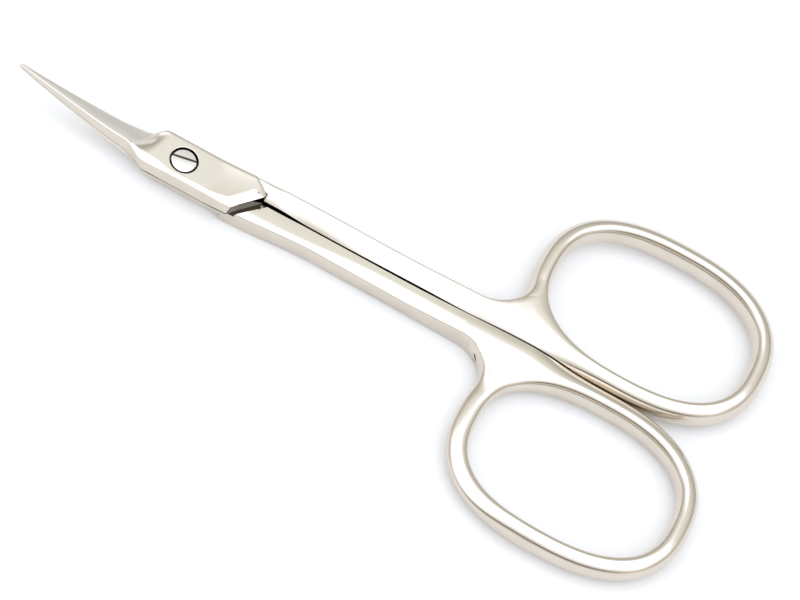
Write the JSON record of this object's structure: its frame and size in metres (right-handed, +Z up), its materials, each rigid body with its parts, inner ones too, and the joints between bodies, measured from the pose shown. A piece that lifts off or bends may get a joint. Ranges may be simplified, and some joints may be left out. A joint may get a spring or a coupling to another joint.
{
  "type": "cuticle scissors",
  "caption": "Small curved-blade scissors with a lap joint, slotted pivot screw and oval finger bows.",
  "frame": {"origin": "on the rest plane, below the middle of the closed scissors' bounding box", "axes": "+X runs along the closed scissors to the finger bows, +Y to the bow of the half whose lap is on top, +Z up, away from the rest plane"},
  "size_m": [0.09, 0.0436, 0.0057],
  "materials": {
    "lower_half_steel": "warm nickel plate, bright, with ground satin blade flanks",
    "upper_half_steel": "warm nickel plate, bright, with ground satin blade flanks",
    "screw_steel": "nickel plate, turned"
  },
  "bodies": {
    "lower": {"lower_half": "lower_half_steel", "pivot_screw": "screw_steel"},
    "upper": {"upper_half": "upper_half_steel"}
  },
  "joints": [
    {"name": "blade_pivot", "type": "hinge", "parent": "lower", "child": "upper", "pos_m": [-0.024, -0.0007, 0], "axis": [0, 0, 1], "range_deg": [0, 50]}
  ]
}
